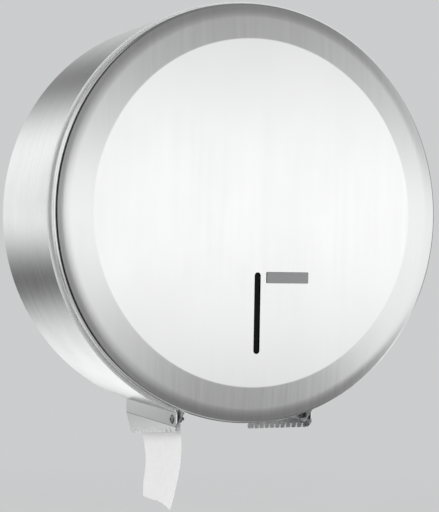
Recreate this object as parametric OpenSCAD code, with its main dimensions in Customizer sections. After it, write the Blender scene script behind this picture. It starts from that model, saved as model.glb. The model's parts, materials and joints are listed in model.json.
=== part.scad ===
// Jumbo toilet roll dispenser in brushed stainless steel.
// A C-shaped drum band stands on a wall plate, and its two open ends carry the serrated tear plates.
// A round dished lid closes the front and drops down on two pivots through the tear plates.
// +Z is up and the room is towards -Y. The origin is the centre of the wall fixings, on the wall face.
// Lengths called "from the wall" run towards the room, so a point that is d from the wall has y = -d.

/* [Drum band] */
// Outer radius of the drum band
drum_r = 157; // [152:0.5:175]
// From the wall to the band's front fold
drum_depth = 114; // [112:0.5:130]
// Sheet thickness of the drum band
band_t = 0.8; // [0.6:0.1:1.2]
// Bend radius of the band's front fold, at the middle of the sheet
band_bend = 1.8; // [0.8:0.1:1.9]
// Length of the band's lip, over which the lid slides
lip_l = 3; // [2:0.5:5]
// Width of the bend relief at each rear corner of the band
relief_w = 4; // [2:0.5:8]

/* [Back plate] */
// Sheet thickness of the back plate
plate_t = 1; // [0.8:0.1:1.5]
// Height of the back plate's turned flange
plate_flange = 7; // [4:0.5:8]
// Bend radius of the back plate's flange, at the middle of the sheet
plate_bend = 1.5; // [1:0.1:3]
// Radius of the raised pad in the middle
pad_r = 48; // [34:1:55]
// Height of the raised pad off the wall
pad_rise = 1.5; // [1.3:0.1:3]
// Width of the slope round the raised pad
pad_slope = 4; // [2:0.5:8]
// Distance between the wall fixings, side to side
fixing_x = 160; // [130:5:190]
// Distance between the wall fixings, up and down
fixing_z = 120; // [110:5:150]
// Diameter of the wall fixing holes
fixing_d = 6.5; // [4:0.1:9]

/* [Lid] */
// How far the lid's skirt stands in from the drum band's outside
lid_step = 2; // [1.5:0.1:6]
// Sheet thickness of the lid
lid_t = 1; // [0.6:0.1:1.2]
// How far the lid's rim stands in front of the drum band
lid_stand = 10; // [9:0.5:20]
// Width of the cone and rim round the raised flat disc
cone_w = 27; // [15:1:37]
// Height of the raised disc over the rim
disc_rise = 4.3; // [2:0.1:8]
// Outside radius of the rounded rim
rim_round = 3; // [1.5:0.1:4]
// Width of the steeper last part of the cone, by the rim
rim_slope_w = 8; // [7:0.5:12]
// Share of the disc's rise that falls in that last part
rim_slope_share = 0.51; // [0.35:0.01:0.6]
// Width of the sight slot
slot_w = 5; // [3:0.5:10]
// Length of the sight slot, with its round ends
slot_l = 60; // [30:1:70]
// From the bottom of the sight slot down to the edge of the raised disc
slot_edge = 24.5; // [23:0.5:48]

/* [Sight window] */
// How far the window reaches past the slot at each side
window_side = 8.5; // [4:0.5:15]
// How far the window reaches past each end of the slot
window_end = 8; // [4:0.5:9]
// Thickness of the window strip
window_t = 1.5; // [1:0.1:3]

/* [Tear plates] */
// From the middle to the outer face of each tear plate
tear_x = 56; // [50:0.5:62]
// Sheet thickness of the tear plates
tear_t = 1; // [0.8:0.1:1.5]
// Bend radius at the top of a tear plate, at the middle of the sheet
tear_bend = 2; // [1.5:0.1:3]
// Length of the flange inside the drum band
tear_flange = 12; // [8:1:20]
// From the wall to the rear end of the tear plates
tear_back = 9; // [8.5:0.5:12]
// Height of a tear plate at its rear end
tear_rear_h = 27.6; // [22:0.1:35]
// Height of a tear plate at its front end
tear_front_h = 14; // [12:0.5:20]
// From the top of a tear plate down to the line where it is set inwards
set_drop = 10.5; // [10:0.5:11.5]
// Angle by which the toothed strip is set inwards
set_angle = 15; // [0:1:20]
// Number of notches between the teeth
notch_count = 10; // [4:1:12]
// Distance from notch to notch
notch_pitch = 8.8; // [6:0.1:9.6]
// Depth of a notch
notch_h = 3.6; // [2:0.1:5]
// Width of a notch at its mouth
notch_w = 3.6; // [2.5:0.1:5]
// Width of a notch at its round top
notch_top_w = 2; // [1:0.1:2.4]
// Corner radius at the rear end of the tooth line
rear_corner = 3; // [1:0.5:5]
// Corner radius at the front end of the tooth line
front_corner = 7; // [3:0.5:8]

/* [Lid pivots] */
// From the band's front fold back to the pivots
pivot_back = 9.5; // [7:0.5:13]
// From the top of a tear plate down to the pivots
pivot_drop = 5.6; // [5:0.1:6]
// Diameter of the pivot rivets
pivot_d = 4; // [3:0.1:5]
// Diameter of the pivot rivets' heads
pivot_head_d = 7; // [6:0.1:8]
// Height of the pivot rivets' heads
pivot_head_h = 1.6; // [1.4:0.1:2.5]
// Diameter of the pin that is left in each pivot rivet
pivot_pin_d = 2.4; // [1.6:0.1:2.8]
// Length of each pivot rivet's blind end
pivot_blind_l = 5; // [3:0.5:7]
// Sheet thickness of the lid's ears
ear_t = 1.2; // [1:0.1:1.6]
// Radius of an ear's round end
ear_end_r = 5; // [4:0.1:5.2]
// Width of an ear's flange on the lid's skirt
ear_flange = 10; // [6:0.5:16]

/* [Spindle] */
// Diameter of the spindle flange
flange_d = 60; // [54:1:66]
// Thickness of the spindle flange
flange_t = 2; // [1.5:0.1:3]
// Diameter of the axle
axle_d = 12; // [10:0.5:14]
// Diameter of the axle's spigot in the spindle flange
spigot_d = 9; // [7:0.5:9.5]
// Number of spindle rivets
rivet_count = 4; // [3:1:6]
// Diameter of the circle of spindle rivets
rivet_pcd = 42; // [34:1:44]
// Diameter of the spindle rivets
rivet_d = 4; // [3:0.1:5]
// Diameter of the spindle rivets' heads
rivet_head_d = 7; // [6:0.1:8]
// Height of the spindle rivets' heads
rivet_head_h = 1.2; // [0.8:0.1:1.2]

/* [Core hub] */
// Diameter of the hub's rear flange
hub_flange_d = 88; // [70:1:110]
// Thickness of the hub's rear flange
hub_flange_t = 2; // [1.5:0.1:3]
// Diameter of the hub's barrel
hub_barrel_d = 52; // [44:1:54]
// Wall thickness of the barrel and the bearing tube
hub_wall = 2.5; // [1.5:0.1:3.5]
// Number of ribs inside and outside the barrel
rib_count = 6; // [4:1:8]
// Thickness of the ribs
rib_t = 2.4; // [1.5:0.1:4]
// Length of the ribs' tapered nose
nose_l = 10; // [5:1:15]
// Length of each bearing land in the hub's bore
land_l = 14; // [8:1:20]
// Depth of the relief between the bearing lands
land_relief = 0.8; // [0.4:0.1:1.2]
// Diameter of the washer
washer_d = 24; // [18:1:30]
// Thickness of the washer
washer_t = 1.5; // [1:0.1:2]
// Diameter of the hub screw
hub_screw_d = 6; // [4:0.5:7]
// Diameter of the hub screw's head
hub_screw_head_d = 12; // [10:0.5:14]
// Height of the hub screw's head
hub_screw_head_h = 3.5; // [2:0.1:5]
// Length of the hub screw's shank
hub_screw_l = 16; // [10:1:25]

/* [Lock] */
// From the wall to the lock's axis
lock_depth = 86; // [84:0.5:88]
// Diameter of the lock barrel
barrel_d = 16; // [14:0.5:18]
// Diameter of the barrel's head
barrel_head_d = 19; // [19:0.5:24]
// Height of the barrel's head
barrel_head_h = 2.2; // [1.5:0.1:3]
// Length of the barrel under its head
barrel_l = 17; // [14:0.5:17.5]
// Diameter of the key plug
plug_d = 12; // [10:0.5:12.5]
// Width of the keyway
key_w = 1.8; // [1:0.1:2.5]
// Length of the keyway
key_l = 8; // [5:0.5:9]
// Depth of the keyway
key_h = 7; // [4:0.5:9]
// Distance across the flats of the lock nut
nut_flats = 22; // [20:0.5:26]
// Height of the lock nut
nut_h = 3; // [2:0.1:5]
// Thickness of the cam
cam_t = 2; // [1.5:0.1:2.2]
// Reach of the cam from the lock's axis
cam_reach = 24; // [20:0.5:26]
// Width of the cam's arm
cam_w = 12; // [8:0.5:14]
// Diameter of the cam screw
cam_screw_d = 4; // [3:0.1:5]
// Diameter of the cam screw's head
cam_screw_head_d = 8; // [7:0.1:9]
// Height of the cam screw's head
cam_screw_head_h = 2; // [1.5:0.1:2.5]
// Length of the cam screw's shank
cam_screw_l = 8; // [6:0.5:9]
// Thickness of the striker's sheet
striker_t = 1.2; // [1:0.1:1.6]
// Width of the striker
striker_w = 10; // [6:0.5:11]

/* [Roll] */
// Room round the full roll, for the lock and the paper that comes off it
roll_room = 26.2; // [25.2:0.1:60]
// Width of the paper
paper_w = 90; // [80:1:90]
// Inner diameter of the cardboard core
core_d = 60; // [58:0.5:62]
// Wall thickness of the cardboard core
core_t = 2; // [1:0.1:3]
// Edge radius of the roll
roll_round = 1.5; // [0.5:0.1:3]
// Thickness of the paper tail
tail_t = 0.5; // [0.3:0.1:0.6]
// Length of the paper tail below the top of a tear plate
tail_l = 79; // [70:1:100]

/* [Hidden] */
$fn = 128;

// Clearances
seat_gap = 0.1; // between sheets that are spot-welded or bonded
running_gap = 0.05; // radial, between a shaft and its bore
side_gap = 0.2; // beside a piece that turns
soft_gap = 0.3; // beside paper and cardboard
lap_gap = 0.4; // radial, between the lid's skirt and the band's lip
lid_gap = 0.5; // between the lid's rear edge and the band's fold
striker_gap = 3; // beside the lock barrel
tongue_gap = 1.2; // over the cam
eps = 0.01;
beyond = 1; // how far a cut runs past what it cuts

// Drum and lid
lid_r = drum_r - lid_step;
disc_r = lid_r - cone_w;
lip_r = lid_r - lid_t - lap_gap;
band_in_r = drum_r - band_t;
rim_depth = drum_depth + lid_stand;
lid_depth = rim_depth + disc_rise;
rim_slope_h = disc_rise * rim_slope_share;
lid_rear = drum_depth + lid_gap;
skirt_in_r = lid_r - lid_t;
slot_drop = disc_r - slot_edge - slot_l; // from the lid's centre down to the top of the slot

// Tear plates
leaf_top = -sqrt(drum_r * drum_r - tear_x * tear_x);
tear_mid_r = band_in_r - seat_gap - tear_t / 2;
tear_mid_x = tear_x - tear_t / 2;
leaf_corner = -sqrt(tear_mid_r * tear_mid_r - tear_mid_x * tear_mid_x);
band_end_x = tear_x + tear_bend - tear_t / 2 + soft_gap;
tear_front = drum_depth - band_t / 2 - band_bend - seat_gap;
rear_low = leaf_top - tear_rear_h;
front_low = leaf_top - tear_front_h;
set_z = leaf_top - set_drop;
tooth_line = norm([tear_front - tear_back, rear_low - front_low]);
tooth_angle = atan2(front_low - rear_low, tear_front - tear_back);

// Pivots and ears
pivot_depth = drum_depth - pivot_back;
pivot_z = leaf_top - pivot_drop;
low_by_ear = front_low - (tear_front - pivot_depth + ear_end_r) * tan(tooth_angle);
spacer_t = max(set_z - low_by_ear, 0) * tan(set_angle) + side_gap;
ear_out_x = tear_x - tear_t - spacer_t - side_gap / 2;
ear_mid_x = ear_out_x - ear_t / 2;
ear_flange_r = skirt_in_r - seat_gap - ear_t / 2;
ear_seat_z = -sqrt(ear_flange_r * ear_flange_r - ear_mid_x * ear_mid_x);
ear_rear = lid_rear + ear_t;
ear_front = rim_depth - rim_round - side_gap;
ear_slot_front = ear_front - ear_t;

// Spindle and hub
pad_front = pad_rise + plate_t;
flange_front = pad_front + flange_t;
hub_rear = flange_front + rivet_head_h + lid_gap;
hub_seat = hub_rear + hub_flange_t;
roll_rear = hub_seat + soft_gap;
roll_front = roll_rear + paper_w;
hub_front = roll_front - side_gap;
axle_front = hub_front + side_gap;
washer_front = axle_front + washer_t;
rib_r = core_d / 2 - soft_gap;
core_out_r = core_d / 2 + core_t;
roll_in_r = core_out_r + soft_gap;
roll_r = band_in_r - roll_room;

// Lock, whose heights are taken on the lock's own upright axis
head_seat = drum_r;
barrel_low = head_seat - barrel_l;
cam_top = barrel_low - side_gap;
cam_low = cam_top - cam_t;
nut_top = sqrt(band_in_r * band_in_r - pow(nut_flats / sqrt(3), 2));
striker_in_x = barrel_d / 2 + striker_gap;
hook_rear = lock_depth - cam_w / 2 - lid_gap - striker_t;
tongue_low = cam_top + tongue_gap;
web_rear = drum_depth + lip_l + lid_gap;
striker_seat_r = skirt_in_r - seat_gap;
striker_seat_l = rim_depth - rim_round - web_rear;

// Paper tail: its path inside the drum is in degrees round the roll, and below it in millimetres
tail_roll_r = roll_r + soft_gap + tail_t / 2;
tail_wall_r = tear_mid_r - tear_t / 2 - soft_gap - tail_t / 2;
start_angle = 165;
leaving_angle = 185;
landing_angle = 218;
end_angle = 246;
step_angle = 4.5;
// Edge of the tail by the wall, each point as [inwards of the leaf's outer face, below the leaf's top], in parts of
// the length that hangs out
tail_rear_points = [
    [0.057, -0.019], [0.108, 0.044], [0.139, 0.165], [0.168, 0.329], [0.196, 0.443], [0.214, 0.544],
    [0.219, 0.633], [0.216, 0.715], [0.205, 0.81], [0.197, 0.886], [0.2, 1]
];
// Edge of the tail by the lid
tail_front_points = [
    [0.051, -0.016], [0.089, 0.038], [0.109, 0.101], [0.118, 0.19], [0.127, 0.291], [0.128, 0.38],
    [0.122, 0.481], [0.108, 0.582], [0.077, 0.734], [0.051, 0.835], [0.025, 0.93]
];
tail_columns = 6;

// A unit vector along v
function unit(v) = v / norm(v);

// An angle brought to within half a turn of zero
function wrapped(a) = a > 180 ? a - 360 : a < -180 ? a + 360 : a;

// The points of a round corner at b, between the lines to a and c
function corner(a, b, c, r, steps) =
    let (
        u = unit(a - b),
        w = unit(c - b),
        half = acos(u * w) / 2,
        centre = b + unit(u + w) * r / sin(half),
        first = b + u * r / tan(half) - centre,
        last = b + w * r / tan(half) - centre,
        start = atan2(first.y, first.x),
        sweep = wrapped(atan2(last.y, last.x) - start)
    )
    [for (i = [0:steps]) centre + r * [cos(start + sweep * i / steps), sin(start + sweep * i / steps)]];

// A path through points [x, y, corner radius]
function rounded(p, steps = 6) = [
    for (i = [0:len(p) - 1])
        each p[i].z == 0
            ? [[p[i].x, p[i].y]]
            : corner([p[i - 1].x, p[i - 1].y], [p[i].x, p[i].y], [p[i + 1].x, p[i + 1].y], p[i].z, steps)
];

// A path moved sideways by d, with mitred corners
function beside(p, d) = [
    for (i = [0:len(p) - 1])
        let (
            a = unit(p[max(i, 1)] - p[max(i, 1) - 1]),
            b = unit(p[min(i, len(p) - 2) + 1] - p[min(i, len(p) - 2)]),
            n = unit([-a.y - b.y, a.x + b.x])
        )
        p[i] + n * d / (n * [-a.y, a.x])
];

function reversed(p) = [for (i = [len(p) - 1:-1:0]) p[i]];

// The point on a circle about c where the line from p touches it
function touch(p, c, r, side) =
    let (away = p - c, a = atan2(away.y, away.x) + side * acos(r / norm(away)))
    c + r * [cos(a), sin(a)];

function polar(r, a) = r * [cos(a), sin(a)];

function smooth(s) = s * s * (3 - 2 * s);

// A strip of sheet seen on its edge, about the middle line p
module sheet(p, t) {
    polygon(concat(beside(p, t / 2), reversed(beside(p, -t / 2))));
}

// Turns a profile of [radius, distance from the wall] about the drum's axis
module turned() {
    rotate([90, 0, 0]) rotate_extrude() children();
}

// Extrudes a front view from distance a to distance b from the wall
module front_view(a, b) {
    translate([0, -a, 0]) rotate([90, 0, 0]) linear_extrude(b - a) children();
}

// Extrudes a side view of [distance from the wall, height] from x = a to x = b
module side_view(a, b) {
    translate([b, 0, 0]) rotate([90, 0, -90]) linear_extrude(b - a) children();
}

// A rod along X at distance d from the wall and height z
module cross_rod(a, b, r, d, z) {
    translate([a, -d, z]) rotate([0, 90, 0]) cylinder(h = b - a, r = r);
}

// A domed rivet head on a flat face, rising along +Z
module dome(d, h) {
    ball_r = (d * d / 4 + h * h) / (2 * h);
    intersection() {
        translate([0, 0, h - ball_r]) sphere(r = ball_r);
        cylinder(h = h, r = d / 2);
    }
}

// ---- Drum ----

module back_plate() {
    flange_mid = band_in_r - seat_gap - plate_t / 2;
    mid = plate_t / 2;
    color("silver") difference() {
        turned() sheet(rounded([
            [0, pad_rise + mid, 0],
            [pad_r, pad_rise + mid, plate_bend],
            [pad_r + pad_slope, mid, plate_bend],
            [flange_mid, mid, plate_bend],
            [flange_mid, plate_flange, 0]
        ]), plate_t);
        for (x = [-fixing_x / 2, fixing_x / 2])
            for (z = [-fixing_z / 2, fixing_z / 2])
                front_view(-beyond, pad_front) translate([x, z]) circle(d = fixing_d);
        front_view(-beyond, pad_front + beyond) rivet_places() circle(r = rivet_d / 2 + running_gap);
    }
}

module drum_band() {
    wall = drum_r - band_t / 2;
    fold = drum_depth - band_t / 2;
    lip = lip_r - band_t / 2;
    color("gainsboro") difference() {
        turned() sheet(rounded([
            [wall, 0, 0],
            [wall, fold, band_bend],
            [lip, fold, band_bend / 2],
            [lip, drum_depth + lip_l, 0]
        ], 8), band_t);
        translate([-band_end_x, -drum_depth - lip_l - beyond, -drum_r - beyond])
            cube([band_end_x * 2, drum_depth + lip_l + beyond * 2, drum_r]);
        translate([-band_end_x - relief_w, -tear_back, -drum_r - beyond])
            cube([(band_end_x + relief_w) * 2, tear_back + beyond, drum_r]);
        translate([0, -lock_depth, 0]) cylinder(h = drum_r * 2, r = barrel_d / 2 + running_gap);
    }
}

// The outline of a tear plate seen from the side, with its rounded ends and round-topped notches
module tear_outline() {
    land = (tooth_line - notch_pitch * (notch_count - 1)) / 2;
    difference() {
        polygon(rounded([
            [tear_back, 0, 0],
            [tear_back, rear_low, rear_corner],
            [tear_front, front_low, front_corner],
            [tear_front, 0, 0]
        ]));
        translate([tear_back, rear_low]) rotate(tooth_angle)
            for (i = [0:notch_count - 1])
                translate([land + i * notch_pitch, 0]) notch();
    }
}

module notch() {
    polygon([
        [-notch_w / 2, -beyond],
        [notch_w / 2, -beyond],
        [notch_top_w / 2, notch_h - notch_top_w / 2],
        [-notch_top_w / 2, notch_h - notch_top_w / 2]
    ]);
    translate([0, notch_h - notch_top_w / 2]) circle(d = notch_top_w);
}

module tear_plate() {
    flange_from = atan2(leaf_corner, tear_mid_x);
    first = flange_from + 360 * tear_flange / (2 * PI * tear_mid_r);
    bend_clear = flange_from + 360 * tear_bend * 1.5 / (2 * PI * tear_mid_r);
    arc_steps = 6;
    low = rear_low - tear_bend;
    color("lightgray") difference() {
        intersection() {
            front_view(tear_back, tear_front) sheet(rounded(concat(
                [for (i = [0:arc_steps])
                    let (p = polar(tear_mid_r, first + (bend_clear - first) * i / arc_steps)) [p.x, p.y, 0]],
                [
                    [tear_mid_x, leaf_corner, tear_bend],
                    [tear_mid_x, set_z, tear_bend],
                    [tear_mid_x - (set_z - low) * tan(set_angle), low, 0]
                ]
            )), tear_t);
            side_view(0, drum_r) tear_outline();
        }
        cross_rod(0, drum_r, pivot_d / 2 + running_gap, pivot_depth, pivot_z);
    }
}

module tear_plate_right() {
    tear_plate();
}

module tear_plate_left() {
    mirror([1, 0, 0]) tear_plate();
}

// ---- Lid ----

module lid_panel() {
    mid = lid_t / 2;
    color("whitesmoke") difference() {
        turned() sheet(rounded([
            [0, lid_depth - mid, 0],
            [disc_r, lid_depth - mid, rim_round * 3],
            [lid_r - rim_slope_w, rim_depth + rim_slope_h - mid, rim_slope_w * 5],
            [lid_r - mid, rim_depth - mid, rim_round - mid],
            [lid_r - mid, lid_rear, 0]
        ], 8), lid_t);
        front_view(rim_depth, lid_depth + beyond) slot_outline(slot_w, slot_l, 0);
        for (side = [-1, 1])
            translate([side * ear_mid_x - ear_t / 2 - side_gap, -ear_slot_front, -lid_r - beyond])
                cube([ear_t + side_gap * 2, ear_slot_front - lid_rear + beyond, lid_r / 2]);
    }
}

// A strip with round ends, hanging from the top of the sight slot and larger by a margin at each end
module slot_outline(w, l, margin) {
    top = -slot_drop + margin - w / 2;
    low = -slot_drop - l - margin + w / 2;
    translate([-w / 2, low]) square([w, top - low]);
    translate([0, top]) circle(d = w);
    translate([0, low]) circle(d = w);
}

module sight_window() {
    face = lid_depth - lid_t - seat_gap;
    half = slot_w / 2 + window_side;
    round_r = 3;
    color("dimgray") front_view(face - window_t, face) {
        translate([-half, -slot_drop - slot_l - window_end + round_r])
            square([half * 2, slot_l + window_end * 2 - round_r * 2]);
        translate([-half + round_r, -slot_drop - slot_l - window_end])
            square([half * 2 - round_r * 2, slot_l + window_end * 2]);
        for (x = [-half + round_r, half - round_r])
            for (z = [-slot_drop + window_end - round_r, -slot_drop - slot_l - window_end + round_r])
                translate([x, z]) circle(r = round_r);
    }
}

// The side view of a lid ear: it stands in the lid, comes out through the skirt's slot and ends on the pivot
module ear_outline() {
    centre = [pivot_depth, pivot_z];
    top = ear_seat_z + ear_flange / 2 + ear_t;
    nose = [ear_slot_front - side_gap, ear_seat_z - ear_t];
    heel = [ear_rear, top];
    difference() {
        union() {
            polygon([
                [ear_front, top],
                [ear_front, ear_seat_z],
                [nose.x, ear_seat_z],
                nose,
                touch(nose, centre, ear_end_r, -1),
                centre,
                touch(heel, centre, ear_end_r, 1),
                heel
            ]);
            translate(centre) circle(r = ear_end_r);
        }
        translate(centre) circle(r = pivot_d / 2 + running_gap);
    }
}

module lid_ear() {
    arc_steps = 5;
    first = atan2(ear_seat_z, ear_mid_x);
    sweep = -360 * ear_flange / (2 * PI * ear_flange_r);
    color("lightgray") {
        side_view(ear_mid_x - ear_t / 2, ear_out_x) ear_outline();
        front_view(ear_rear, ear_front)
            sheet([for (i = [0:arc_steps]) polar(ear_flange_r, first + sweep * i / arc_steps)], ear_t);
    }
}

module lid_ear_right() {
    lid_ear();
}

module lid_ear_left() {
    mirror([1, 0, 0]) lid_ear();
}

// A blind rivet that draws sheets together from z = -grip to z = 0, with its flange on top
module blind_rivet(grip) {
    pin_r = pivot_pin_d / 2;
    bulb_r = (pivot_d + pivot_head_d) / 4;
    swell = pivot_blind_l / 3;
    difference() {
        dome(pivot_head_d, pivot_head_h);
        translate([0, 0, pivot_head_h / 3]) cylinder(h = pivot_head_h, r1 = pin_r / 2, r2 = pin_r * 1.5);
    }
    rotate_extrude() polygon(rounded([
        [0, eps, 0],
        [pivot_d / 2, eps, 0],
        [pivot_d / 2, -grip, 0],
        [bulb_r, -grip, 0],
        [bulb_r, -grip - swell * 2, swell / 2],
        [pin_r, -grip - swell * 2, 0],
        [pin_r, -grip - pivot_blind_l, 0],
        [0, -grip - pivot_blind_l, 0]
    ]));
}

// Each pivot is a blind rivet set from outside, with a spacer collar between the tear plate and the ear
module pivot_rivets() {
    inner = ear_mid_x - ear_t / 2 - side_gap / 2;
    spacer_x = tear_x - tear_t;
    color("darkgray")
        for (side = [0, 1])
            mirror([side, 0, 0]) {
                cross_rod(spacer_x - spacer_t, spacer_x, pivot_head_d / 2, pivot_depth, pivot_z);
                translate([tear_x, -pivot_depth, pivot_z]) rotate([0, 90, 0]) blind_rivet(tear_x - inner);
            }
}

// ---- Spindle and hub ----

module rivet_places() {
    for (i = [0:rivet_count - 1])
        rotate(360 / rivet_count * (i + 0.5)) translate([rivet_pcd / 2, 0]) children();
}

module spindle_flange() {
    color("gray") front_view(pad_front, flange_front) difference() {
        circle(d = flange_d);
        circle(r = spigot_d / 2 + running_gap);
        rivet_places() circle(r = rivet_d / 2 + running_gap);
    }
}

module spindle_axle() {
    color("silver") difference() {
        union() {
            front_view(pad_front + seat_gap, flange_front + eps) circle(d = spigot_d);
            front_view(flange_front, axle_front) circle(d = axle_d);
        }
        front_view(axle_front - hub_screw_l - beyond, axle_front + beyond)
            circle(r = hub_screw_d / 2 + running_gap);
    }
}

module spindle_rivets() {
    color("darkgray") rotate([90, 0, 0]) rivet_places() {
        translate([0, 0, pad_rise - eps]) cylinder(h = pad_front + flange_t - pad_rise + eps * 2, r = rivet_d / 2);
        translate([0, 0, flange_front]) dome(rivet_head_d, rivet_head_h);
        translate([0, 0, pad_rise]) mirror([0, 0, 1]) dome(rivet_head_d, rivet_head_h);
    }
}

module core_hub() {
    bore_r = axle_d / 2 + running_gap;
    tube_r = bore_r + land_relief + hub_wall;
    barrel_r = hub_barrel_d / 2;
    color("slategray") {
        turned() polygon([
            [bore_r, hub_rear],
            [hub_flange_d / 2, hub_rear],
            [hub_flange_d / 2, hub_seat],
            [tube_r, hub_seat],
            [tube_r, hub_front],
            [bore_r, hub_front],
            [bore_r, hub_front - land_l],
            [bore_r + land_relief, hub_front - land_l - land_relief],
            [bore_r + land_relief, hub_rear + land_l + land_relief],
            [bore_r, hub_rear + land_l]
        ]);
        turned() polygon([
            [barrel_r - hub_wall, hub_seat - eps],
            [barrel_r, hub_seat - eps],
            [barrel_r, hub_front - nose_l / 2],
            [barrel_r - hub_wall, hub_front - nose_l / 2]
        ]);
        intersection() {
            turned() polygon([
                [tube_r - hub_wall / 2, hub_seat - eps],
                [rib_r, hub_seat - eps],
                [rib_r, hub_front - nose_l * 2],
                [barrel_r, hub_front - nose_l],
                [barrel_r - hub_wall, hub_front - nose_l / 2],
                [tube_r - hub_wall / 2, hub_front - nose_l / 2]
            ]);
            front_view(hub_rear, hub_front)
                for (i = [0:rib_count - 1])
                    rotate(360 / rib_count * i) translate([0, -rib_t / 2]) square([core_d / 2, rib_t]);
        }
    }
}

module hub_washer() {
    color("silver") front_view(axle_front, washer_front) difference() {
        circle(d = washer_d);
        circle(r = hub_screw_d / 2 + running_gap);
    }
}

module hub_screw() {
    head_front = washer_front + hub_screw_head_h;
    recess_r = hub_screw_d / 3;
    color("darkgray") difference() {
        union() {
            front_view(axle_front - hub_screw_l, washer_front + eps) circle(d = hub_screw_d);
            translate([0, -washer_front, 0]) rotate([90, 0, 0]) dome(hub_screw_head_d, hub_screw_head_h);
        }
        front_view(head_front - hub_screw_head_h / 2, head_front + beyond) circle(r = recess_r, $fn = 6);
    }
}

// ---- Roll ----

module paper_core() {
    color("burlywood") turned() translate([core_d / 2, roll_rear]) square([core_t, paper_w]);
}

module paper_roll() {
    color("white") turned() polygon(rounded([
        [roll_in_r, roll_rear, 0],
        [roll_r, roll_rear, roll_round],
        [roll_r, roll_front, roll_round],
        [roll_in_r, roll_front, 0]
    ], 4));
}

// The part of the tail's path inside the drum: round the roll, down to the band and along it
function tail_inner_path() = [
    for (a = [start_angle:step_angle:end_angle])
        let (s = min(max((a - leaving_angle) / (landing_angle - leaving_angle), 0), 1))
        polar(tail_roll_r + (tail_wall_r - tail_roll_r) * smooth(s), a)
];

// The whole path of one edge of the tail, in the front view
function tail_path(points) = concat(
    tail_inner_path(),
    [for (p = points) [p.x * tail_l - tear_x, leaf_top - p.y * tail_l]]
);

// A smooth curve through points, with extra points between them
function curve(p, steps) = [
    for (i = [0:len(p) - 2])
        for (k = [0:steps - 1])
            let (
                s = k / steps,
                a = p[max(i - 1, 0)],
                b = p[i],
                c = p[i + 1],
                d = p[min(i + 2, len(p) - 1)]
            )
            (2 * b + (c - a) * s + (2 * a - 5 * b + 4 * c - d) * s * s + (3 * b - a - 3 * c + d) * s * s * s) / 2,
    p[len(p) - 1]
];

module paper_tail() {
    rear = curve(tail_path(tail_rear_points), 2);
    front = curve(tail_path(tail_front_points), 2);
    rows = len(rear);
    spot = function (i, j)
        let (v = j / (tail_columns - 1), p = rear[i] * (1 - v) + front[i] * v)
        [p.x, -roll_rear - paper_w * v, p.y];
    face_dir = function (i, j)
        unit(cross(
            spot(min(i + 1, rows - 1), j) - spot(max(i - 1, 0), j),
            spot(i, min(j + 1, tail_columns - 1)) - spot(i, max(j - 1, 0))
        ));
    skins = [
        for (k = [-1, 1])
            for (i = [0:rows - 1])
                for (j = [0:tail_columns - 1])
                    spot(i, j) + face_dir(i, j) * k * tail_t / 2
    ];
    layer = rows * tail_columns;
    at = function (i, j) i * tail_columns + j;
    last = tail_columns - 1;
    top_faces = [
        for (i = [0:rows - 2])
            for (j = [0:last - 1])
                each [[at(i, j), at(i + 1, j), at(i + 1, j + 1)], [at(i, j), at(i + 1, j + 1), at(i, j + 1)]]
    ];
    rim = concat(
        [for (j = [0:last]) at(0, j)],
        [for (i = [1:rows - 1]) at(i, last)],
        [for (j = [last - 1:-1:0]) at(rows - 1, j)],
        [for (i = [rows - 2:-1:1]) at(i, 0)]
    );
    rim_faces = [
        for (k = [0:len(rim) - 1])
            let (a = rim[k], b = rim[(k + 1) % len(rim)])
            each [[a, b, b + layer], [a, b + layer, a + layer]]
    ];
    color("white") polyhedron(
        points = skins,
        faces = concat(
            top_faces,
            [for (f = top_faces) [f[2] + layer, f[1] + layer, f[0] + layer]],
            rim_faces
        )
    );
}

// ---- Lock ----

module lock_barrel() {
    color("silver") translate([0, -lock_depth, 0]) difference() {
        rotate_extrude() polygon([
            [0, barrel_low],
            [barrel_d / 2, barrel_low],
            [barrel_d / 2, head_seat],
            [barrel_head_d / 2, head_seat],
            [barrel_head_d / 2, head_seat + barrel_head_h / 2],
            [barrel_head_d / 2 - barrel_head_h / 2, head_seat + barrel_head_h],
            [0, head_seat + barrel_head_h]
        ]);
        translate([0, 0, barrel_low - beyond])
            cylinder(h = barrel_l + barrel_head_h + beyond * 2, r = plug_d / 2 + running_gap);
    }
}

module lock_nut() {
    color("darkgray") translate([0, -lock_depth, nut_top - nut_h]) difference() {
        cylinder(h = nut_h, r = nut_flats / sqrt(3), $fn = 6);
        translate([0, 0, -beyond]) cylinder(h = nut_h + beyond * 2, r = barrel_d / 2 + running_gap);
    }
}

module lock_plug() {
    top = head_seat + barrel_head_h - side_gap;
    color("gold") translate([0, -lock_depth, 0]) difference() {
        translate([0, 0, cam_top]) cylinder(h = top - cam_top, r = plug_d / 2);
        translate([-key_l / 2, -key_w / 2, top - key_h]) cube([key_l, key_w, key_h + beyond]);
        translate([0, 0, cam_top - beyond])
            cylinder(h = cam_screw_l + beyond * 2, r = cam_screw_d / 2 + running_gap);
    }
}

module lock_cam() {
    color("gray") translate([0, -lock_depth, cam_low]) linear_extrude(cam_t) difference() {
        union() {
            circle(d = barrel_d);
            translate([-cam_w / 2, -cam_reach + cam_w / 4]) square([cam_w, cam_reach - cam_w / 4]);
            translate([-cam_w / 4, -cam_reach]) square([cam_w / 2, cam_w / 2]);
            for (x = [-cam_w / 4, cam_w / 4])
                translate([x, -cam_reach + cam_w / 4]) circle(r = cam_w / 4);
        }
        circle(r = cam_screw_d / 2 + running_gap);
    }
}

module cam_screw() {
    color("darkgray") translate([0, -lock_depth, cam_low]) {
        translate([0, 0, -eps]) cylinder(h = cam_t + cam_screw_l, r = cam_screw_d / 2);
        mirror([0, 0, 1]) dome(cam_screw_head_d, cam_screw_head_h);
    }
}

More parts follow.
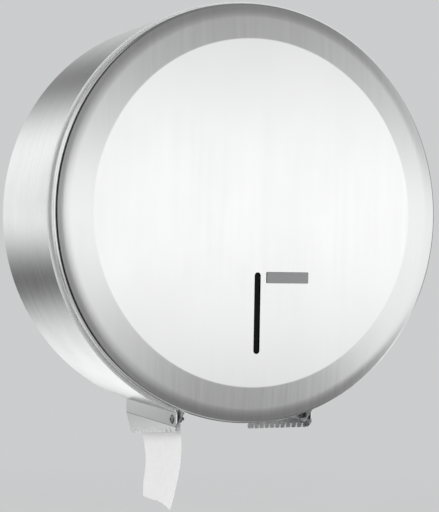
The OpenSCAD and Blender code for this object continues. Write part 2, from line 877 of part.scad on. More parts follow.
// A bent strip under the top of the lid's skirt, whose hook lies behind the cam when the lock is turned
module lock_striker() {
    hook_low = cam_low - side_gap;
    seat_low = striker_seat_r - striker_t;
    color("gray") intersection() {
        side_view(striker_in_x, striker_in_x + striker_w) {
            translate([web_rear, tongue_low]) square([striker_t, striker_seat_r - tongue_low]);
            translate([web_rear, seat_low - striker_t]) square([striker_seat_l, striker_t * 3]);
            translate([hook_rear, tongue_low]) square([web_rear + striker_t - hook_rear, striker_t]);
            translate([hook_rear, hook_low]) square([striker_t, tongue_low + striker_t - hook_low]);
        }
        front_view(0, rim_depth) circle(r = striker_seat_r);
    }
}

back_plate();
drum_band();
tear_plate_left();
tear_plate_right();
pivot_rivets();
lid_panel();
lid_ear_left();
lid_ear_right();
sight_window();
spindle_flange();
spindle_axle();
spindle_rivets();
core_hub();
hub_washer();
hub_screw();
paper_core();
paper_roll();
paper_tail();
lock_barrel();
lock_nut();
lock_plug();
lock_cam();
cam_screw();
lock_striker();
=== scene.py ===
"""Finish, light and camera for a round jumbo toilet roll dispenser in brushed steel."""

import json
import math
import random

import bmesh
import bpy
from mathutils import Matrix, Vector


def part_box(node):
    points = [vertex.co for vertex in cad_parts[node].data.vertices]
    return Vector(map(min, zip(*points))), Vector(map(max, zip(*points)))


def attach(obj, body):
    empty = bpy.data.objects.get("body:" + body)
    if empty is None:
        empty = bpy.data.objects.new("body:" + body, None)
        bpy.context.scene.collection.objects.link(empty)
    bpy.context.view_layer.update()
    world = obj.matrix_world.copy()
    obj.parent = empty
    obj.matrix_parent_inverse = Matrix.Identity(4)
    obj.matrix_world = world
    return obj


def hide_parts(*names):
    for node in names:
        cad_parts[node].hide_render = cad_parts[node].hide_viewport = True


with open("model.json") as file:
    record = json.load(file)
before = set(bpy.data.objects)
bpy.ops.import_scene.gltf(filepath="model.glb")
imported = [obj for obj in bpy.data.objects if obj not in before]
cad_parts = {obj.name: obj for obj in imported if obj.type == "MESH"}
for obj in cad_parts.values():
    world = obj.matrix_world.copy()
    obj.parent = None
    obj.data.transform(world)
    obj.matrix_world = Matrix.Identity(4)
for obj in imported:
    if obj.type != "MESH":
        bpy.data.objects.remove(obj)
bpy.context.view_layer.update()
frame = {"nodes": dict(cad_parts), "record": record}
nodes = frame["nodes"]

MM = 0.001

# ---- Sizes in millimetres, under their names in the part's source ----

DRUM_R, DRUM_DEPTH = 157.0, 114.0
BAND_T = 0.8
TEAR_X, TEAR_T = 56.0, 1.0
ROLL_R, ROLL_REAR = 130.0, 8.5
PAPER_W = 90.0
ROLL_FRONT = ROLL_REAR + PAPER_W
CORE_T = 2.0
TAIL_T, TAIL_L = 0.5, 79.0
# Between welded sheets, and beside paper and board.
SEAT_GAP, SOFT_GAP = 0.1, 0.3
# The tail's path inside the drum, in degrees anticlockwise from the right, seen from the room.
START_ANGLE, LEAVING_ANGLE, LANDING_ANGLE, END_ANGLE = 165.0, 185.0, 218.0, 246.0
STEP_ANGLE = 4.5


# ---- Node trees ----


class Value:
    """An output of a shader node, with the operators that add Math nodes."""

    def __init__(self, graph, made, socket):
        self.graph, self.made, self.socket = graph, made, socket

    def other(self, name):
        """Another output of the same node."""
        return Value(self.graph, self.made, find_socket(self.made.outputs, name))

    def math(self, operation, *others):
        values = dict(enumerate((self, *others)))
        return self.graph.node("Math", {"operation": operation}, values)

    def flipped(self, operation, other):
        return self.graph.node("Math", {"operation": operation}, {0: other, 1: self})

    def __add__(self, other):
        return self.math("ADD", other)

    __radd__ = __add__

    def __sub__(self, other):
        return self.math("SUBTRACT", other)

    def __rsub__(self, other):
        return self.flipped("SUBTRACT", other)

    def __mul__(self, other):
        return self.math("MULTIPLY", other)

    __rmul__ = __mul__

    def __truediv__(self, other):
        return self.math("DIVIDE", other)

    def __rtruediv__(self, other):
        return self.flipped("DIVIDE", other)


def find_socket(sockets, key):
    if isinstance(key, int):
        return sockets[key]
    for socket in sockets:
        if key in (socket.identifier, socket.name):
            return socket
    raise KeyError(key)


class Graph:
    """A shader node tree, and the one way in which nodes are added to it."""

    def __init__(self, tree):
        self.tree = tree
        tree.nodes.clear()

    def node(self, kind, settings=None, sockets=None, output=0):
        made = self.tree.nodes.new("ShaderNode" + kind)
        for key, value in (settings or {}).items():
            setattr(made, key, value)
        for key, value in (sockets or {}).items():
            target = find_socket(made.inputs, key)
            if isinstance(value, Value):
                self.tree.links.new(value.socket, target)
            elif isinstance(value, tuple) and len(value) == 3 and target.type == "RGBA":
                target.default_value = (*value, 1)
            else:
                target.default_value = value
        return Value(self, made, find_socket(made.outputs, output)) if made.outputs else None

    def blend(self, factor, a, b):
        """Colour a where factor is 0 and b where it is 1."""
        colours = {"Factor_Float": factor, "A_Color": a, "B_Color": b}
        return self.node("Mix", {"data_type": "RGBA"}, colours, "Result_Color")

    def between(self, value, low, high, start=0.0, end=1.0):
        """value, from low to high, brought smoothly to the range from start to end."""
        return self.node(
            "MapRange",
            {"interpolation_type": "SMOOTHSTEP"},
            {"Value": value, "From Min": low, "From Max": high, "To Min": start, "To Max": end},
        )

    def noise(self, places, scale, detail, rough):
        """Noise over three places, in cycles a metre: one scale, or one for each place."""
        if isinstance(scale, tuple):
            places = [place * share for place, share in zip(places, scale)]
            scale = 1
        spot = self.node("CombineXYZ", None, dict(zip("XYZ", places)))
        facts = {"Vector": spot, "Scale": scale, "Detail": detail, "Roughness": rough}
        return self.node("TexNoise", None, facts, "Fac")

    def bump(self, height, distance, strength, **sockets):
        facts = {"Height": height, "Distance": distance, "Strength": strength, **sockets}
        return self.node("Bump", None, facts)


def new_graph(owner):
    """The emptied node tree of a new material or world."""
    owner.use_nodes = True
    return Graph(owner.node_tree)


def material(name, build, **facts):
    """A material whose Principled sockets are what build(graph, **facts) returns."""
    made = bpy.data.materials.new(name)
    graph = new_graph(made)
    shader = graph.node("BsdfPrincipled", None, build(graph, **facts))
    graph.node("OutputMaterial", None, {"Surface": shader})
    return made


def axes(graph, coordinates="Object"):
    """The place on a piece in metres, or the direction in the world, as three values."""
    x = graph.node("SeparateXYZ", None, {0: graph.node("TexCoord", output=coordinates)})
    return x, x.other("Y"), x.other("Z")


def distance(a, b):
    return (a * a + b * b).math("SQRT")


def round_places(graph, arc_radius):
    """The arc at a radius, the place along the drum's axis, and the distance from it, in metres."""
    x, y, z = axes(graph)
    return x.math("ARCTAN2", z) * arc_radius, y, distance(x, z)


def scaled(colour, share):
    return tuple(c * share for c in colour)


# ---- Finishes ----

# The range that most of a noise's values lie in.
MOST = (0.3, 0.7)
# Noise scales: one for all three places, or one for each.
HAIR_LINES, STREAKS, SMUDGES = (28, 1500, 60), (7, 260, 20), (14, 19, 14)
MILL_CLOUDS, MILL_LINES = 45, (900, 300, 25)
SCRATCHES, WORN_PATCHES = 1400, 240
GRIT, FLOW = 2600, 60
WIPES = (400, 1, 60)
FIBRES = 900
CREPE, MOTTLE = (2200, 160, 1), 140
LAYERS, SOFT_LAYERS = (2600, 18, 1), (300, 8, 1)
FLOOR_CLOUDS = 6
# At the drum band's front fold the steel turns duller, and less metallic so that it shows a light
# diffuse grey as a painted highlight, between these places.
FOLD_PAINTED_HIGHLIGHT_Y = (-(DRUM_DEPTH - 3.0) * MM, -(DRUM_DEPTH - 2.0) * MM)
FOLD_DULL_Y = (-(DRUM_DEPTH - 2.4) * MM, -(DRUM_DEPTH - 1.6) * MM)
# The board's rise in one turn, in metres, and the share of a turn that its seam takes.
BOARD_TURN, SEAM_SHARE = 0.055, 0.02
# From dimple to dimple of the embossing, in metres.
DIMPLE_PITCH = 0.0042
# The roll's outside gives way to its end face between these distances from the axis.
END_FACE_R = ((ROLL_R - 1.5) * MM, (ROLL_R - 2.5) * MM)


def brushed(graph, places, colour, roughness, streak=0.5, marks=0.5):
    """Sheet steel. The places are along the brushing, across it and into the sheet."""
    hair = graph.noise(places, HAIR_LINES, 2, 0.6)
    band = graph.noise(places, STREAKS, 3, 0.6)
    smudge = graph.noise(places, SMUDGES, 3, 0.55)
    shade = graph.between(hair * 0.45 + band * 0.55, *MOST)
    light = tuple(min(c, 0.98) for c in scaled(colour, 1 + 0.05 * streak))
    wiped = graph.between(smudge, 0.35, 0.75, 0.0, 0.06 * marks)
    return {
        "Base Color": graph.blend(shade, scaled(colour, 1 - 0.16 * streak), light),
        "Metallic": 1.0,
        "Roughness": roughness + shade * 0.06 + wiped,
        "Normal": graph.bump(hair * 0.6 + band * 0.4, 0.00003, 0.5),
    }


def round_brushed(graph, **facts):
    """Brushed round the drum's axis, with the front fold made duller and partly diffuse: a painted
    highlight that shows light grey in place of the fold's reflection.
    """
    places = round_places(graph, DRUM_R * MM)
    y = places[1]
    sockets = brushed(graph, places, **facts)
    sockets["Roughness"] = sockets["Roughness"] + graph.between(y, *FOLD_DULL_Y) * 0.34
    # Painted highlight: the fold is made partly diffuse, so that it renders light grey in place of
    # a reflection.
    sockets["Metallic"] = graph.between(y, *FOLD_PAINTED_HIGHLIGHT_Y, 1.0, 0.52)
    return sockets


def upright_brushed(graph, **facts):
    x, y, z = axes(graph)
    return brushed(graph, (z, x, y), **facts)


def lengthwise_brushed(graph, **facts):
    """Brushed from the wall to the room."""
    x, y, z = axes(graph)
    return brushed(graph, (y, z, x), **facts)


def mill(graph, colour, roughness):
    """Rolled sheet, cloudy and faintly lined."""
    places = axes(graph)
    cloud = graph.noise(places, MILL_CLOUDS, 4, 0.6)
    line = graph.noise(places, MILL_LINES, 2, 0.5)
    shade = graph.between(cloud * 0.7 + line * 0.3, *MOST)
    return {
        "Base Color": graph.blend(shade, scaled(colour, 0.8), colour),
        "Metallic": 1.0,
        "Roughness": roughness + shade * 0.12,
        "Normal": graph.bump(line, 0.00002, 0.5),
    }


def turned_metal(graph, colour, roughness, scratch=0.5):
    """A small turned or pressed fitting with fine handling marks."""
    places = axes(graph)
    fine = graph.noise(places, SCRATCHES, 2, 0.5)
    worn = graph.noise(places, WORN_PATCHES, 3, 0.6)
    shade = graph.between(worn, 0.35, 0.7)
    return {
        "Base Color": graph.blend(shade, scaled(colour, 0.82), colour),
        "Metallic": 1.0,
        "Roughness": roughness + shade * 0.08 * scratch + fine * 0.05,
        "Normal": graph.bump(fine, 0.00002, 0.4 * scratch),
    }


def moulded(graph, colour, roughness):
    """Moulded plastic with a spark-eroded texture."""
    places = axes(graph)
    grit = graph.noise(places, GRIT, 2, 0.6)
    flow = graph.noise(places, FLOW, 3, 0.5)
    return {
        "Base Color": graph.blend(graph.between(flow, *MOST), scaled(colour, 0.9), colour),
        "Roughness": roughness + grit * 0.1,
        "Normal": graph.bump(grit, 0.00004, 0.5),
    }


def smoked(graph, colour):
    """Clear dark plastic with faint wipe marks."""
    wipe = graph.noise(axes(graph), WIPES, 3, 0.6)
    return {
        "Base Color": graph.blend(graph.between(wipe, 0.4, 0.8), colour, scaled(colour, 1.8)),
        "Roughness": 0.16 + wipe * 0.14,
        "Specular IOR Level": 0.08,
    }


def board(graph, colour):
    """Spiral-wound board, with a darker seam from turn to turn."""
    x, y, z = axes(graph)
    turn = x.math("ARCTAN2", z) / (2 * math.pi)
    step = (turn + y / BOARD_TURN).math("FRACT")
    seam = graph.between(step, 0.0, SEAM_SHARE) * graph.between(1 - step, 0.0, SEAM_SHARE)
    fibre = graph.noise((x, y, z), FIBRES, 4, 0.7)
    plain = graph.blend(graph.between(fibre, 0.25, 0.75), scaled(colour, 0.82), colour)
    return {
        "Base Color": graph.blend(seam, scaled(colour, 0.55), plain),
        "Roughness": 0.88 + fibre * 0.08,
        "Normal": graph.bump(seam * 0.7 + fibre * 0.3, 0.0001, 0.7),
    }


def embossed(graph, along, across, colour):
    """Two-ply tissue: embossed dimples in a grid, over crepe lines and soft fibre mottling."""
    row, column = ((place * 2 * math.pi / DIMPLE_PITCH).math("SINE") for place in (along, across))
    dimple = graph.between(row * column, 0.1, 0.9)
    crepe = graph.noise((along, across, 0.0), CREPE, 3, 0.6)
    mottle = graph.noise((along, across, 0.0), MOTTLE, 4, 0.6)
    shade = graph.between(mottle * 0.7 + crepe * 0.3, *MOST)
    return {
        "Base Color": graph.blend(shade, scaled(colour, 0.955), colour),
        "Roughness": 0.92,
        "Specular IOR Level": 0.2,
        "Normal": graph.bump(0.75 - dimple * 0.5 + crepe * 0.3, 0.00016, 0.7),
    }


def sheet_tissue(graph, colour):
    place = graph.node("SeparateXYZ", None, {0: graph.node("UVMap", {"uv_map": "sheet"})})
    return embossed(graph, place, place.other("Y"), colour)


def wound_tissue(graph, colour):
    """Tissue on the roll: embossed on the outside, and fine wound edges on its ends."""
    arc, y, radius = round_places(graph, ROLL_R * MM)
    sockets = embossed(graph, arc, y, colour)
    layers = graph.noise((radius, arc, 0.0), LAYERS, 3, 0.7)
    soft = graph.noise((radius, arc, 0.0), SOFT_LAYERS, 2, 0.5)
    on_end = graph.between(radius, *END_FACE_R)
    shade = graph.between(layers * 0.6 + soft * 0.4, *MOST)
    edge = graph.blend(shade, scaled(colour, 0.84), scaled(colour, 0.99))
    sockets["Base Color"] = graph.blend(on_end, sockets["Base Color"], edge)
    sockets["Normal"] = graph.bump(layers * on_end, 0.0003, 0.6, Normal=sockets["Normal"])
    return sockets


recipes = {
    "drum_steel": (round_brushed, (0.84, 0.845, 0.85), dict(roughness=0.17, streak=0.7, marks=0.5)),
    "lid_steel": (
        upright_brushed, (0.92, 0.922, 0.925), dict(roughness=0.17, streak=0.2, marks=0.4)
    ),
    "plate_steel": (mill, (0.62, 0.63, 0.64), dict(roughness=0.34)),
    "tear_steel": (
        upright_brushed, (0.90, 0.905, 0.91), dict(roughness=0.16, streak=0.5, marks=0.4)
    ),
    "rivet_steel": (turned_metal, (0.26, 0.26, 0.27), dict(roughness=0.30)),
    "ear_steel": (mill, (0.86, 0.865, 0.87), dict(roughness=0.42)),
    "fastener_steel": (turned_metal, (0.55, 0.55, 0.57), dict(roughness=0.24)),
    "lock_chrome": (turned_metal, (0.82, 0.82, 0.84), dict(roughness=0.08, scratch=0.4)),
    "key_brass": (turned_metal, (0.70, 0.55, 0.28), dict(roughness=0.26, scratch=1.0)),
    "window_smoke": (smoked, (0.003, 0.003, 0.0035), {}),
    "hub_plastic": (moulded, (0.40, 0.42, 0.45), dict(roughness=0.42)),
    "core_board": (board, (0.56, 0.43, 0.29), {}),
    "tissue": (sheet_tissue, (0.955, 0.955, 0.945), {}),
    # Painted shade: the same tissue as the tail, made darker for the roll that sits in the drum's
    # shade.
    "roll_tissue": (wound_tissue, (0.88, 0.88, 0.87), {}),
    "badge_grey": (
        lengthwise_brushed, (0.42, 0.425, 0.43), dict(roughness=0.38, streak=0.6, marks=0.3)
    ),
}
finish = {
    name: material(name, build, colour=colour, **facts)
    for name, (build, colour, facts) in recipes.items()
}

# Nodes whose finish isn't that of their material slot.
own_finish = {
    "tear_plate_left": "tear_steel",
    "tear_plate_right": "tear_steel",
    "pivot_rivets": "rivet_steel",
    "lid_ear_left": "ear_steel",
    "lid_ear_right": "ear_steel",
}
for part in frame["record"]["subparts"]:
    piece = nodes[part["node"]]
    piece.data.materials.clear()
    piece.data.materials.append(finish[own_finish.get(part["node"], part["material_slot"])])


# ---- Mesh help ----

# Points closer than this, in metres, are one point.
MERGED = 1e-7


def mesh_piece(name, points, faces, finish_name, body, smooth=True):
    """A new piece from points and faces, riding on a body."""
    mesh = bpy.data.meshes.new(name)
    mesh.from_pydata([tuple(p) for p in points], [], faces)
    mesh.validate()
    for face in mesh.polygons:
        face.use_smooth = smooth
    mesh.materials.append(finish[finish_name])
    piece = bpy.data.objects.new(name, mesh)
    bpy.context.scene.collection.objects.link(piece)
    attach(piece, body)
    return piece


def grid_faces(rows, columns, close_rows=False, close_columns=False):
    faces = []
    for i in range(rows if close_rows else rows - 1):
        for j in range(columns if close_columns else columns - 1):
            a, b = (i + 1) % rows, (j + 1) % columns
            faces.append((i * columns + j, a * columns + j, a * columns + b, i * columns + b))
    return faces


def outward(piece):
    """Points a closed mesh's faces outwards."""
    shape = bmesh.new()
    shape.from_mesh(piece.data)
    bmesh.ops.remove_doubles(shape, verts=shape.verts, dist=MERGED)
    bmesh.ops.recalc_face_normals(shape, faces=shape.faces)
    shape.to_mesh(piece.data)
    shape.free()


def turned_ring(name, profile, radius_at, finish_name, around, sharp_angle):
    """A closed ring on the roll's body, with that many points around.

    The profile's points are a radius and a distance from the wall, in millimetres. The radius at
    each angle round the axle is what radius_at(r, d, angle) gives. Edges sharper than sharp_angle,
    in degrees, stay sharp.
    """
    points = []
    for r, d in profile:
        for k in range(around):
            a = 2 * math.pi * k / around
            rr = radius_at(r, d, a)
            points.append((rr * math.cos(a) * MM, -d * MM, rr * math.sin(a) * MM))
    faces = grid_faces(len(profile), around, close_rows=True, close_columns=True)
    ring = mesh_piece(name, points, faces, finish_name, "roll")
    outward(ring)
    ring.data.shade_smooth()
    ring.data.set_sharp_from_angle(angle=math.radians(sharp_angle))
    return ring


# ---- Paper ----

# Thickness of the tissue as it shows.
PLY = 0.3
# The middle of the tail's sheet, on the roll and along the flange of the tear plate.
TAIL_ROLL_R = ROLL_R + SOFT_GAP + TAIL_T / 2
TAIL_WALL_R = DRUM_R - BAND_T - SEAT_GAP - TEAR_T - SOFT_GAP - TAIL_T / 2
# Steps from point to point of an edge, and points across the sheet.
EDGE_STEPS, TAIL_COLUMNS = 6, 46
# The rows that the torn end takes up, how ragged its edge is and how far up it bows.
TORN_ROWS, TORN_ROUGH, TORN_BOW = 14, 0.45, 2.3

# The hanging part's edges by the wall and by the lid. Each point is how far it lies inwards of the
# left tear plate's outside and below that plate's top, in shares of TAIL_L.
rear_points = [
    (0.057, -0.019), (0.108, 0.044), (0.139, 0.165), (0.168, 0.329), (0.196, 0.443),
    (0.214, 0.544), (0.219, 0.633), (0.216, 0.715), (0.205, 0.81), (0.197, 0.886), (0.2, 1),
]
front_points = [
    (0.051, -0.016), (0.089, 0.038), (0.109, 0.101), (0.118, 0.19), (0.127, 0.291),
    (0.128, 0.38), (0.122, 0.481), (0.108, 0.582), (0.077, 0.734), (0.051, 0.835), (0.025, 0.93),
]


def curve(points, steps):
    """A smooth curve through points, with extra points between them."""
    made = []
    last = len(points) - 1
    for i in range(last):
        a, b, c, d = (points[min(max(k, 0), last)] for k in (i - 1, i, i + 1, i + 2))
        for k in range(steps):
            s = k / steps
            square = (2 * a - 5 * b + 4 * c - d) * s**2
            cube = (3 * b - a - 3 * c + d) * s**3
            made.append((2 * b + (c - a) * s + square + cube) / 2)
    return [*made, points[last]]


def tail_edge(hanging):
    """One edge of the tail in the front view: round the roll, to the band, along it and out."""
    inner = []
    for k in range(round((END_ANGLE - START_ANGLE) / STEP_ANGLE) + 1):
        angle = START_ANGLE + STEP_ANGLE * k
        s = min(max((angle - LEAVING_ANGLE) / (LANDING_ANGLE - LEAVING_ANGLE), 0), 1)
        r = TAIL_ROLL_R + (TAIL_WALL_R - TAIL_ROLL_R) * s * s * (3 - 2 * s)
        inner.append(Vector((r * math.cos(math.radians(angle)), r * math.sin(math.radians(angle)))))
    plate_top = -math.sqrt(DRUM_R**2 - TEAR_X**2)
    outer = [Vector((x * TAIL_L - TEAR_X, plate_top - y * TAIL_L)) for x, y in hanging]
    return curve(inner + outer, EDGE_STEPS)


def make_tail():
    """The hanging tissue, with its torn end."""
    rear, front = tail_edge(rear_points), tail_edge(front_points)
    rows = len(rear)
    rng = random.Random(7)
    torn = [rng.uniform(-1, 1) for _ in range(TAIL_COLUMNS)]
    points, coords = [], []
    length = 0.0
    for i in range(rows):
        if i:
            length += (rear[i] + front[i] - rear[i - 1] - front[i - 1]).length / 2
        down = max(i - (rows - TORN_ROWS), 0) / (TORN_ROWS - 1)
        for j in range(TAIL_COLUMNS):
            v = j / (TAIL_COLUMNS - 1)
            spot = rear[i].lerp(front[i], v)
            sag = (TORN_ROUGH * torn[j] - TORN_BOW * math.sin(math.pi * v**1.6)) * down**3
            points.append((spot.x * MM, -(ROLL_REAR + PAPER_W * v) * MM, (spot.y - sag) * MM))
            coords.append((length * MM, PAPER_W * v * MM))
    faces = grid_faces(rows, TAIL_COLUMNS)
    tail = mesh_piece("tissue_tail", points, faces, "tissue", "housing")
    layer = tail.data.uv_layers.new(name="sheet")
    for loop in tail.data.loops:
        layer.data[loop.index].uv = coords[loop.vertex_index]
    solid = tail.modifiers.new("ply", "SOLIDIFY")
    solid.thickness = PLY * MM
    solid.offset = 0
    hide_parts("paper_tail")


def make_roll():
    """The wound roll: its ends show the layers as fine steps, and its outside isn't quite round."""
    inner, outer = 32.4, ROLL_R - 1.2
    # Each end has rings that stand back by up to layer_step. The outside has its own rows.
    rings, rows, layer_step = 44, 8, 0.5
    # The rounded edge's points: inwards of the outside and of the end.
    rounded = [(0.3, 0.7), (0.0, 1.8)]
    rng = random.Random(11)
    rear_steps = [rng.uniform(0, layer_step) for _ in range(rings)]
    front_steps = [rng.uniform(0, layer_step) for _ in range(rings)]
    radii = [inner + (outer - inner) * k / (rings - 1) for k in range(rings)]
    profile = [(r, ROLL_REAR + step) for r, step in zip(radii, rear_steps)]
    profile += [(ROLL_R - a, ROLL_REAR + b) for a, b in rounded]
    profile += [(ROLL_R, ROLL_REAR + PAPER_W * k / rows) for k in range(1, rows)]
    profile += [(ROLL_R - a, ROLL_FRONT - b) for a, b in reversed(rounded)]
    profile += reversed([(r, ROLL_FRONT - step) for r, step in zip(radii, front_steps)])

    def slack(r, d, a):
        wide = 0.18 * (r / ROLL_R) * math.sin(3 * a + 1)
        narrow = 0.1 * math.sin(7 * a + d * 0.05)
        return r - abs(wide + narrow)

    roll = turned_ring(
        "wound_roll", profile, slack, "roll_tissue", around=256, sharp_angle=50
    )
    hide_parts("paper_roll")


def make_core():
    """The board tube, with slightly crushed ends."""
    lo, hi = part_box("paper_core")
    outer, rear, front = hi.x / MM, -hi.y / MM, -lo.y / MM
    inner = outer - CORE_T
    edge, bevel, rows = 0.4, 0.3, 6
    crush, crushed_length = 0.12, 2.0
    along = [rear + (front - rear) * k / rows for k in range(1, rows)]
    profile = [(inner, rear + bevel), (inner + edge, rear)]
    profile += [(outer - edge, rear), (outer, rear + bevel)]
    profile += [(outer, d) for d in along]
    profile += [(outer, front - bevel), (outer - edge, front)]
    profile += [(inner + edge, front), (inner, front - bevel)]
    profile += [(inner, d) for d in reversed(along)]

    def crushed(r, d, a):
        if min(d - rear, front - d) >= crushed_length:
            return r
        inwards = abs(crush * math.sin(5 * a + 0.7))
        return r - inwards if r > outer - CORE_T / 2 else r + inwards

    core = turned_ring(
        "board_core", profile, crushed, "core_board", around=128, sharp_angle=35
    )
    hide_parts("paper_core")


# ---- Bare plate beside the slot ----


def make_plate():
    """A bare grey plate, bonded to the lid's disc, with rounded corners and a small chamfer."""
    left, right, top, low = 7.2, 41.7, -43.1, -51.4
    # How far it is sunk into the disc, where its chamfer starts, and its thickness.
    sunk, shoulder, thickness = 0.02, 0.5, 0.7
    corner, chamfer, steps = 0.7, 0.2, 4
    face = -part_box("lid_panel")[0].y / MM
    centres = (
        (right - corner, top - corner),
        (left + corner, top - corner),
        (left + corner, low + corner),
        (right - corner, low + corner),
    )

    def outline(inset, d):
        r = corner - inset
        made = []
        for quarter, (cx, cz) in enumerate(centres):
            for k in range(steps + 1):
                a = math.radians(90 * quarter + 90 * k / steps)
                made.append((cx + r * math.cos(a), -d, cz + r * math.sin(a)))
        return made

    rings = [
        outline(0, face - sunk), outline(0, face + shoulder), outline(chamfer, face + thickness)
    ]
    points = [tuple(c * MM for c in p) for ring in rings for p in ring]
    count = len(rings[0])
    faces = grid_faces(len(rings), count, close_columns=True)
    faces += [tuple(range(count)), tuple(range(2 * count, 3 * count))]
    plate = mesh_piece(
        "bare_plate", points, faces, "badge_grey", "lid", smooth=False
    )
    outward(plate)


make_roll()
make_core()
make_tail()
make_plate()


# ---- Studio ----

PALE = (0.60, 0.605, 0.61)
EVEN_LIGHT = (0.70, 0.70, 0.71)
FLOOR_SIZE, FLOOR_LEVEL = 14.0, -0.42
FLOOR_GREYS = ((0.66, 0.66, 0.66), (0.68, 0.68, 0.68))
# The floor turns into the plain background between these distances from the middle, in metres.
FLOOR_FADES = (0.5, 1.6)

# The studio that the steel reflects, by the direction that a reflection runs in: to the right,
# towards the wall and up. A fade is from, to, and the strength before and after, which is 0 and 1
# where it isn't given. A soft box is its middle to the right and up, its half width, half height
# and strength.
BEFORE = (-0.15, 0.15, 1.0, 0.0)
BOX_EDGE = (0.6, 1.4)
# The window in front: how far up its middle is, its half height, its strength and its two sides.
WINDOW_UP, WINDOW_HALF, WINDOW_STRENGTH = 0.035, 0.18, 1.06
WINDOW_LEFT, WINDOW_RIGHT = (-0.30, 0.40, 0.76, 1.0), (0.56, 0.78, 1.0, 0.80)
SIDE_BOX, SIDE_WALL = (0.75, -0.10, 0.25, 0.20, 0.8), (0.59, 0.95, 0.0, 0.5)
LOW_BOX = (0.08, -0.25, 0.15, 0.20, 0.18)
HAZE = (-0.35, -0.1, 0.09, 0.12)
FRONT_LEFT = (-0.365, -0.11)
# The glow at the left, for the rounded edges on that side.
GLOW_FRONT, GLOW_BACK = (-0.35, 0.0, 0.0, 0.95), (0.7, 0.82, 1.0, 0.0)
GLOW_RIGHT = (-0.45, -0.15, 1.0, 0.0)
GLOW_TOP, GLOW_LOW = (0.4, 0.75, 1.0, 0.5), (-0.5, -0.15, 0.5, 1.0)
# Behind the object.
BACK_BOXES = (
    (-0.50, 0.134, 0.53, 0.266, 0.96),
    (0.655, -0.343, 0.88, 0.119, 1.1),
    (0.50, 0.58, 0.41, 0.446, 0.69),
    (-0.30, -0.34, 0.1, 0.1, 0.35),
)
BACK_DIM = 0.12
# Two dark gaps between the boxes behind, for the right tear plate.
LOW_GAP = (-0.43, -0.38, 0.9, 0.0)
HIGH_GAP, HIGH_GAP_FOOT = (-0.39, -0.35, 0.95, 0.0), (-0.03, 0.05)
GAP_FRONT = (0.72, 0.82)
# The ground, which the lid shows when it is seen from above.
GROUND = (-0.95, -0.78, 0.4, 0.0)
DIM = 0.012

# Place, aim, size in metres and power in watts.
LAMPS = {
    "key": ((0.9, -1.6, 1.1), (0, 0, 0), (1.2, 1.0), 11),
    "fill": ((-1.6, -0.9, 0.5), (0, 0, -0.05), (1.0, 1.2), 11),
    "top": ((0.0, -0.2, 1.6), (0, 0, 0), (1.4, 0.9), 6),
}
# The camera was fitted to the drum's and the lid's outlines. Its angles are in degrees.
CAMERA_PLACE = (-0.44705, -1.04871, -0.03185)
CAMERA_AZIMUTH, CAMERA_ELEVATION, CAMERA_ROLL = -24.32, 0.01, 1.04
CAMERA_LENS, SENSOR_HEIGHT = 98.0, 36


def make_floor():
    mesh = bpy.data.meshes.new("floor")
    corners = ((-1, -1), (1, -1), (1, 1), (-1, 1))
    mesh.from_pydata(
        [(x * FLOOR_SIZE, y * FLOOR_SIZE, FLOOR_LEVEL) for x, y in corners], [], [(0, 1, 2, 3)]
    )
    made = bpy.data.materials.new("floor")
    graph = new_graph(made)
    x, y, _ = axes(graph)
    cloud = graph.between(graph.noise((x, y, 0.0), FLOOR_CLOUDS, 3, 0.5), *MOST)
    facts = {"Base Color": graph.blend(cloud, *FLOOR_GREYS), "Roughness": 0.9}
    matt = graph.node("BsdfPrincipled", None, facts)
    plain = graph.node("Emission", None, {"Color": PALE, "Strength": 1.0})
    far = graph.between(distance(x, y), *FLOOR_FADES)
    seen = graph.node("LightPath", output="Is Camera Ray")
    shader = graph.node("MixShader", None, {0: seen * far, 1: matt, 2: plain})
    graph.node("OutputMaterial", None, {"Surface": shader})
    mesh.materials.append(made)
    floor = bpy.data.objects.new("floor", mesh)
    bpy.context.scene.collection.objects.link(floor)
    floor.visible_glossy = False


def reflected_studio(graph):
    """How bright the steel sees the studio, by the direction of the reflection."""
    x, y, z = axes(graph, "Generated")
    before = graph.between(y, *BEFORE)
    behind = 1 - before

    def soft_box(cx, cz, rx, rz, strength):
        away = distance((x - cx) / rx, (z - cz) / rz)
        return graph.between(away, *BOX_EDGE, strength, 0.0)

    drop = (z - WINDOW_UP) / WINDOW_HALF
    window = WINDOW_STRENGTH / (1 + drop * drop)
    window = window * graph.between(x, *WINDOW_LEFT) * graph.between(x, *WINDOW_RIGHT)
    side = soft_box(*SIDE_BOX).math("MAXIMUM", graph.between(x, *SIDE_WALL))
    front = window.math("MAXIMUM", side) + graph.between(z, *HAZE) + soft_box(*LOW_BOX)
    front = front * graph.between(x, *FRONT_LEFT) * before

    glow = graph.between(y, *GLOW_FRONT) * graph.between(y, *GLOW_BACK)
    glow = glow * graph.between(x, *GLOW_RIGHT)
    glow = glow * graph.between(z, *GLOW_TOP) * graph.between(z, *GLOW_LOW)

    high_gap = graph.between(x, *HIGH_GAP) * graph.between(z, *HIGH_GAP_FOOT)
    gap = graph.between(x, *LOW_GAP).math("MAXIMUM", high_gap) * graph.between(y, *GAP_FRONT)
    boxes = sum(soft_box(*facts) for facts in BACK_BOXES) + BACK_DIM
    back = boxes * (1 - gap) * behind

    ground = graph.between(z, *GROUND) * before
    return front + back.math("MAXIMUM", glow) + ground + DIM


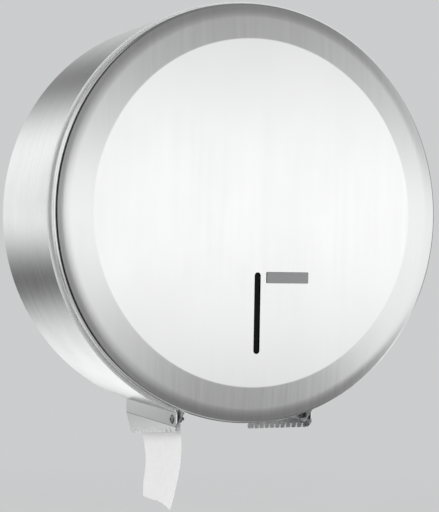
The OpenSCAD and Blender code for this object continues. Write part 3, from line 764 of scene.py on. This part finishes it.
def make_world():
    """Pale to the camera, an even soft light on the object, and the studio in reflections."""
    world = bpy.data.worlds.new("studio")
    bpy.context.scene.world = world
    graph = new_graph(world)
    studio = reflected_studio(graph)
    seen = graph.node("LightPath", output="Is Camera Ray")
    even = graph.blend(seen, EVEN_LIGHT, PALE)
    room = graph.node("Background", None, {"Color": even, "Strength": 1.0})
    boxes = graph.node("Background", None, {"Color": (1.0, 1.0, 1.0), "Strength": studio})
    shader = graph.node("MixShader", None, {0: seen.other("Is Glossy Ray"), 1: room, 2: boxes})
    graph.node("OutputWorld", None, {"Surface": shader})


def make_lamp(name, place, aim, size, power):
    light = bpy.data.lights.new(name, "AREA")
    light.shape = "RECTANGLE"
    light.size, light.size_y = size
    light.energy = power
    made = bpy.data.objects.new(name, light)
    made.location = place
    made.rotation_mode = "QUATERNION"
    made.rotation_quaternion = (Vector(aim) - Vector(place)).to_track_quat("-Z", "Y")
    made.visible_glossy = False
    bpy.context.scene.collection.objects.link(made)


def make_camera():
    degrees = (CAMERA_AZIMUTH, CAMERA_ELEVATION, CAMERA_ROLL)
    azimuth, elevation, roll = (math.radians(a) for a in degrees)
    flat = math.cos(elevation)
    back = Vector((math.sin(azimuth) * flat, -math.cos(azimuth) * flat, math.sin(elevation)))
    level = Vector((0, 0, 1)).cross(back).normalized()
    upright = back.cross(level)
    right = level * math.cos(roll) + upright * math.sin(roll)
    up = upright * math.cos(roll) - level * math.sin(roll)
    data = bpy.data.cameras.new("camera")
    data.sensor_fit = "VERTICAL"
    data.sensor_height = SENSOR_HEIGHT
    data.lens = CAMERA_LENS
    data.clip_start, data.clip_end = 0.05, 60
    camera = bpy.data.objects.new("camera", data)
    turn = Matrix((right, up, back)).transposed().to_4x4()
    camera.matrix_world = Matrix.Translation(Vector(CAMERA_PLACE)) @ turn
    bpy.context.scene.collection.objects.link(camera)
    bpy.context.scene.camera = camera


make_floor()
make_world()
for lamp_name, lamp_facts in LAMPS.items():
    make_lamp(lamp_name, *lamp_facts)
make_camera()
bpy.context.scene.view_settings.view_transform = "Standard"
